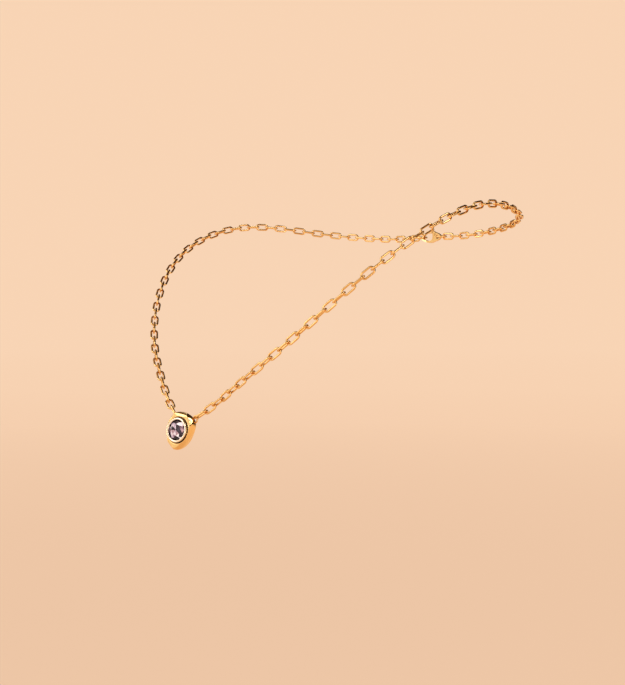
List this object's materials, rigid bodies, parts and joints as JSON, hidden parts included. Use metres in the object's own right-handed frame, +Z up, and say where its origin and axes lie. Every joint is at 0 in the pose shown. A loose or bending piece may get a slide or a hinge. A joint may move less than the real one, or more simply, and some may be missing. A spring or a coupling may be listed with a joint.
{
  "type": "pendant necklace",
  "caption": "Fine oval cable-chain necklace with a pebble-shaped gold pendant holding a bezel-set pale lilac stone, closed by a small clasp at the nape.",
  "frame": {"origin": "centre of the flat back face of the pendant, with the necklace draped as it is worn", "axes": "+Z up, +X to the wearer's left, +Y towards the nape; the pendant faces -Y, turned a little to +X and tilted a little up"},
  "size_m": [0.1507, 0.1329, 0.0894],
  "materials": {
    "gold": "polished",
    "polished_gold": "mirror polished",
    "gem": "polished facets",
    "spring_steel": "drawn wire"
  },
  "bodies": {
    "clasp": {"clasp_body": "gold", "clasp_rivet": "gold", "clasp_spring": "spring_steel"},
    "lever": {"clasp_lever": "gold"},
    "rings": {"clasp_ring": "gold", "end_ring": "gold"},
    "nape": {"nape_links": "gold"},
    "link_48": {"link_pair_48": "gold"},
    "link_47": {"link_pair_47": "gold"},
    "link_46": {"link_pair_46": "gold"},
    "link_45": {"link_pair_45": "gold"},
    "link_44": {"link_pair_44": "gold"},
    "link_43": {"link_pair_43": "gold"},
    "link_42": {"link_pair_42": "gold"},
    "link_41": {"link_pair_41": "gold"},
    "link_40": {"link_pair_40": "gold"},
    "link_39": {"link_pair_39": "gold"},
    "link_38": {"link_pair_38": "gold"},
    "link_37": {"link_pair_37": "gold"},
    "link_36": {"link_pair_36": "gold"},
    "link_35": {"link_pair_35": "gold"},
    "link_34": {"link_pair_34": "gold"},
    "link_33": {"link_pair_33": "gold"},
    "link_32": {"link_pair_32": "gold"},
    "link_31": {"link_pair_31": "gold"},
    "link_30": {"link_pair_30": "gold"},
    "link_29": {"link_pair_29": "gold"},
    "link_28": {"link_pair_28": "gold"},
    "link_27": {"link_pair_27": "gold"},
    "link_26": {"link_pair_26": "gold"},
    "link_25": {"link_pair_25": "gold"},
    "link_24": {"link_pair_24": "gold"},
    "link_23": {"link_pair_23": "gold"},
    "link_22": {"link_pair_22": "gold"},
    "link_21": {"link_pair_21": "gold"},
    "link_20": {"link_pair_20": "gold"},
    "link_19": {"link_pair_19": "gold"},
    "link_18": {"link_pair_18": "gold"},
    "link_17": {"link_pair_17": "gold"},
    "link_16": {"link_pair_16": "gold"},
    "link_15": {"link_pair_15": "gold"},
    "link_14": {"link_pair_14": "gold"},
    "link_13": {"link_pair_13": "gold"},
    "link_12": {"link_pair_12": "gold"},
    "link_11": {"link_pair_11": "gold"},
    "link_10": {"link_pair_10": "gold"},
    "link_09": {"link_pair_09": "gold"},
    "link_08": {"link_pair_08": "gold"},
    "link_07": {"link_pair_07": "gold"},
    "link_06": {"link_pair_06": "gold"},
    "link_05": {"link_pair_05": "gold"},
    "link_04": {"link_pair_04": "gold"},
    "link_03": {"link_pair_03": "gold"},
    "link_02": {"link_pair_02": "gold"},
    "link_01": {"link_pair_01": "gold"},
    "pendant": {"pendant_body": "gold", "bezel_rim": "polished_gold", "gemstone": "gem", "pendant_loops": "gold"}
  },
  "joints": [
    {"name": "lever_pivot", "type": "hinge", "parent": "clasp", "child": "lever", "pos_m": [0.00207, 0.12397, 0.07593], "axis": [0.0518, -0.9987, 0], "range_deg": [0, 25], "stiffness_Nm_per_rad": 0.01, "deforming": ["clasp_spring"]},
    {"name": "ring_roll", "type": "hinge", "parent": "clasp", "child": "rings", "pos_m": [-0.00443, 0.12363, 0.07489], "axis": [0.9987, 0.0518, -0.0004], "range_deg": [-15, 15], "stiffness_Nm_per_rad": 2},
    {"name": "nape_swing", "type": "hinge", "parent": "rings", "child": "nape", "pos_m": [-0.00746, 0.12347, 0.07489], "axis": [-0.9987, -0.0518, 0.0004], "range_deg": [-18, 18], "stiffness_Nm_per_rad": 2},
    {"name": "swing_48", "type": "hinge", "parent": "nape", "child": "link_48", "pos_m": [-0.03263, 0.11994, 0.0757], "axis": [0.9978, 0.066, -0.005], "range_deg": [-18, 18], "stiffness_Nm_per_rad": 2},
    {"name": "swing_47", "type": "hinge", "parent": "link_48", "child": "link_47", "pos_m": [-0.0367, 0.11876, 0.07606], "axis": [-0.998, -0.0627, 0.005], "range_deg": [-18, 18], "stiffness_Nm_per_rad": 2},
    {"name": "swing_46", "type": "hinge", "parent": "link_47", "child": "link_46", "pos_m": [-0.04069, 0.11737, 0.07645], "axis": [0.9982, 0.0597, -0.005], "range_deg": [-18, 18], "stiffness_Nm_per_rad": 2},
    {"name": "swing_45", "type": "hinge", "parent": "link_46", "child": "link_45", "pos_m": [-0.0446, 0.11576, 0.07689], "axis": [-0.9984, -0.0569, 0.0052], "range_deg": [-18, 18], "stiffness_Nm_per_rad": 2},
    {"name": "swing_44", "type": "hinge", "parent": "link_45", "child": "link_44", "pos_m": [-0.04839, 0.1139, 0.07737], "axis": [0.9985, 0.0544, -0.0053], "range_deg": [-18, 18], "stiffness_Nm_per_rad": 2},
    {"name": "swing_43", "type": "hinge", "parent": "link_44", "child": "link_43", "pos_m": [-0.05204, 0.11178, 0.07789], "axis": [-0.9986, -0.0518, 0.0054], "range_deg": [-18, 18], "stiffness_Nm_per_rad": 2},
    {"name": "swing_42", "type": "hinge", "parent": "link_43", "child": "link_42", "pos_m": [-0.0555, 0.10937, 0.07845], "axis": [0.9988, 0.0492, -0.0054], "range_deg": [-18, 18], "stiffness_Nm_per_rad": 2},
    {"name": "swing_41", "type": "hinge", "parent": "link_42", "child": "link_41", "pos_m": [-0.05874, 0.10669, 0.07905], "axis": [-0.9989, -0.0465, 0.0054], "range_deg": [-18, 18], "stiffness_Nm_per_rad": 2},
    {"name": "swing_40", "type": "hinge", "parent": "link_41", "child": "link_40", "pos_m": [-0.06172, 0.10372, 0.07966], "axis": [0.999, 0.0434, -0.0051], "range_deg": [-18, 18], "stiffness_Nm_per_rad": 2},
    {"name": "swing_39", "type": "hinge", "parent": "link_40", "child": "link_39", "pos_m": [-0.06444, 0.10051, 0.08025], "axis": [-0.9992, -0.04, 0.0046], "range_deg": [-18, 18], "stiffness_Nm_per_rad": 2},
    {"name": "swing_38", "type": "hinge", "parent": "link_39", "child": "link_38", "pos_m": [-0.06688, 0.09707, 0.08078], "axis": [0.9993, 0.0368, -0.0038], "range_deg": [-18, 18], "stiffness_Nm_per_rad": 2},
    {"name": "swing_37", "type": "hinge", "parent": "link_38", "child": "link_37", "pos_m": [-0.06904, 0.09344, 0.0812], "axis": [-0.9994, -0.034, 0.0029], "range_deg": [-18, 18], "stiffness_Nm_per_rad": 2},
    {"name": "swing_36", "type": "hinge", "parent": "link_37", "child": "link_36", "pos_m": [-0.0709, 0.08962, 0.08146], "axis": [0.9995, 0.0317, -0.0018], "range_deg": [-18, 18], "stiffness_Nm_per_rad": 2},
    {"name": "swing_35", "type": "hinge", "parent": "link_36", "child": "link_35", "pos_m": [-0.07244, 0.08566, 0.08152], "axis": [-0.9995, -0.0301, 0.0006], "range_deg": [-18, 18], "stiffness_Nm_per_rad": 2},
    {"name": "swing_34", "type": "hinge", "parent": "link_35", "child": "link_34", "pos_m": [-0.07363, 0.08159, 0.08133], "axis": [0.9996, 0.0291, 0.0009], "range_deg": [-18, 18], "stiffness_Nm_per_rad": 2},
    {"name": "swing_33", "type": "hinge", "parent": "link_34", "child": "link_33", "pos_m": [-0.07447, 0.07745, 0.08086], "axis": [-0.9996, -0.0284, -0.0024], "range_deg": [-18, 18], "stiffness_Nm_per_rad": 2},
    {"name": "swing_32", "type": "hinge", "parent": "link_33", "child": "link_32", "pos_m": [-0.07495, 0.07329, 0.08012], "axis": [0.9996, 0.028, 0.0036], "range_deg": [-18, 18], "stiffness_Nm_per_rad": 2},
    {"name": "swing_31", "type": "hinge", "parent": "link_32", "child": "link_31", "pos_m": [-0.07512, 0.06916, 0.07914], "axis": [-0.9996, -0.0278, -0.0045], "range_deg": [-18, 18], "stiffness_Nm_per_rad": 2},
    {"name": "swing_30", "type": "hinge", "parent": "link_31", "child": "link_30", "pos_m": [-0.075, 0.06508, 0.07794], "axis": [0.9996, 0.0277, 0.0049], "range_deg": [-18, 18], "stiffness_Nm_per_rad": 2},
    {"name": "swing_29", "type": "hinge", "parent": "link_30", "child": "link_29", "pos_m": [-0.07461, 0.06108, 0.07655], "axis": [-0.9996, -0.0276, -0.005], "range_deg": [-18, 18], "stiffness_Nm_per_rad": 2},
    {"name": "swing_28", "type": "hinge", "parent": "link_29", "child": "link_28", "pos_m": [-0.07398, 0.05719, 0.07498], "axis": [0.9996, 0.0276, 0.0047], "range_deg": [-18, 18], "stiffness_Nm_per_rad": 2},
    {"name": "swing_27", "type": "hinge", "parent": "link_28", "child": "link_27", "pos_m": [-0.07313, 0.0534, 0.07325], "axis": [-0.9996, -0.0278, -0.0041], "range_deg": [-18, 18], "stiffness_Nm_per_rad": 2},
    {"name": "swing_26", "type": "hinge", "parent": "link_27", "child": "link_26", "pos_m": [-0.07208, 0.04974, 0.07136], "axis": [0.9996, 0.0281, 0.0033], "range_deg": [-18, 18], "stiffness_Nm_per_rad": 2},
    {"name": "swing_25", "type": "hinge", "parent": "link_26", "child": "link_25", "pos_m": [-0.07083, 0.04622, 0.06933], "axis": [-0.9996, -0.0286, -0.0023], "range_deg": [-18, 18], "stiffness_Nm_per_rad": 2},
    {"name": "swing_24", "type": "hinge", "parent": "link_25", "child": "link_24", "pos_m": [-0.0694, 0.04285, 0.06717], "axis": [0.9996, 0.0294, 0.0013], "range_deg": [-18, 18], "stiffness_Nm_per_rad": 2},
    {"name": "swing_23", "type": "hinge", "parent": "link_24", "child": "link_23", "pos_m": [-0.06781, 0.03964, 0.06488], "axis": [-0.9995, -0.0304, -0.0003], "range_deg": [-18, 18], "stiffness_Nm_per_rad": 2},
    {"name": "swing_22", "type": "hinge", "parent": "link_23", "child": "link_22", "pos_m": [-0.06607, 0.03659, 0.06249], "axis": [0.9995, 0.0317, -0.0005], "range_deg": [-18, 18], "stiffness_Nm_per_rad": 2},
    {"name": "swing_21", "type": "hinge", "parent": "link_22", "child": "link_21", "pos_m": [-0.0642, 0.0337, 0.06], "axis": [-0.9994, -0.0332, 0.0013], "range_deg": [-18, 18], "stiffness_Nm_per_rad": 2},
    {"name": "swing_20", "type": "hinge", "parent": "link_21", "child": "link_20", "pos_m": [-0.06221, 0.03095, 0.05744], "axis": [0.9994, 0.0348, -0.002], "range_deg": [-18, 18], "stiffness_Nm_per_rad": 2},
    {"name": "swing_19", "type": "hinge", "parent": "link_20", "child": "link_19", "pos_m": [-0.06012, 0.02835, 0.0548], "axis": [-0.9993, -0.0364, 0.0025], "range_deg": [-18, 18], "stiffness_Nm_per_rad": 2},
    {"name": "swing_18", "type": "hinge", "parent": "link_19", "child": "link_18", "pos_m": [-0.05794, 0.02589, 0.05211], "axis": [0.9993, 0.0381, -0.0029], "range_deg": [-18, 18], "stiffness_Nm_per_rad": 2},
    {"name": "swing_17", "type": "hinge", "parent": "link_18", "child": "link_17", "pos_m": [-0.05569, 0.02356, 0.04937], "axis": [-0.9992, -0.0398, 0.0032], "range_deg": [-18, 18], "stiffness_Nm_per_rad": 2},
    {"name": "swing_16", "type": "hinge", "parent": "link_17", "child": "link_16", "pos_m": [-0.05336, 0.02135, 0.04659], "axis": [0.9991, 0.0414, -0.0033], "range_deg": [-18, 18], "stiffness_Nm_per_rad": 2},
    {"name": "swing_15", "type": "hinge", "parent": "link_16", "child": "link_15", "pos_m": [-0.05094, 0.01925, 0.04378], "axis": [-0.9991, -0.043, 0.0034], "range_deg": [-18, 18], "stiffness_Nm_per_rad": 2},
    {"name": "swing_14", "type": "hinge", "parent": "link_15", "child": "link_14", "pos_m": [-0.04844, 0.01727, 0.04098], "axis": [0.999, 0.0446, -0.0035], "range_deg": [-18, 18], "stiffness_Nm_per_rad": 2},
    {"name": "swing_13", "type": "hinge", "parent": "link_14", "child": "link_13", "pos_m": [-0.04583, 0.01539, 0.03819], "axis": [-0.9989, -0.0462, 0.0036], "range_deg": [-18, 18], "stiffness_Nm_per_rad": 2},
    {"name": "swing_12", "type": "hinge", "parent": "link_13", "child": "link_12", "pos_m": [-0.04313, 0.01362, 0.03544], "axis": [0.9988, 0.048, -0.004], "range_deg": [-18, 18], "stiffness_Nm_per_rad": 2},
    {"name": "swing_11", "type": "hinge", "parent": "link_12", "child": "link_11", "pos_m": [-0.04031, 0.01194, 0.03273], "axis": [-0.9987, -0.0498, 0.0045], "range_deg": [-18, 18], "stiffness_Nm_per_rad": 2},
    {"name": "swing_10", "type": "hinge", "parent": "link_11", "child": "link_10", "pos_m": [-0.03738, 0.01035, 0.0301], "axis": [0.9986, 0.0519, -0.0055], "range_deg": [-18, 18], "stiffness_Nm_per_rad": 2},
    {"name": "swing_09", "type": "hinge", "parent": "link_10", "child": "link_09", "pos_m": [-0.03433, 0.00885, 0.02755], "axis": [-0.9985, -0.0542, 0.0072], "range_deg": [-18, 18], "stiffness_Nm_per_rad": 2},
    {"name": "swing_08", "type": "hinge", "parent": "link_09", "child": "link_08", "pos_m": [-0.03118, 0.00743, 0.02507], "axis": [0.9983, 0.0575, -0.0096], "range_deg": [-18, 18], "stiffness_Nm_per_rad": 2},
    {"name": "swing_07", "type": "hinge", "parent": "link_08", "child": "link_07", "pos_m": [-0.02797, 0.00609, 0.02263], "axis": [-0.9979, -0.0631, 0.0124], "range_deg": [-18, 18], "stiffness_Nm_per_rad": 2},
    {"name": "swing_06", "type": "hinge", "parent": "link_07", "child": "link_06", "pos_m": [-0.02473, 0.00483, 0.02019], "axis": [0.9972, 0.073, -0.0151], "range_deg": [-18, 18], "stiffness_Nm_per_rad": 2},
    {"name": "swing_05", "type": "hinge", "parent": "link_06", "child": "link_05", "pos_m": [-0.02149, 0.00364, 0.0177], "axis": [-0.9958, -0.0902, 0.0166], "range_deg": [-18, 18], "stiffness_Nm_per_rad": 2},
    {"name": "swing_04", "type": "hinge", "parent": "link_05", "child": "link_04", "pos_m": [-0.01825, 0.00253, 0.01519], "axis": [0.9932, 0.1155, -0.0169], "range_deg": [-18, 18], "stiffness_Nm_per_rad": 2},
    {"name": "swing_03", "type": "hinge", "parent": "link_04", "child": "link_03", "pos_m": [-0.01497, 0.00149, 0.0127], "axis": [-0.9888, -0.1484, 0.0172], "range_deg": [-18, 18], "stiffness_Nm_per_rad": 2},
    {"name": "swing_02", "type": "hinge", "parent": "link_03", "child": "link_02", "pos_m": [-0.0116, 0.00053, 0.01029], "axis": [0.9819, 0.1882, -0.0203], "range_deg": [-18, 18], "stiffness_Nm_per_rad": 2},
    {"name": "swing_01", "type": "hinge", "parent": "link_02", "child": "link_01", "pos_m": [-0.00811, -0.00034, 0.00804], "axis": [-0.972, -0.2327, 0.0332], "range_deg": [-18, 18], "stiffness_Nm_per_rad": 2},
    {"name": "pendant_swing", "type": "hinge", "parent": "link_01", "child": "pendant", "pos_m": [-0.00447, -0.00111, 0.00598], "axis": [0.9573, 0.2784, -0.0773], "range_deg": [-20, 20], "stiffness_Nm_per_rad": 2}
  ]
}
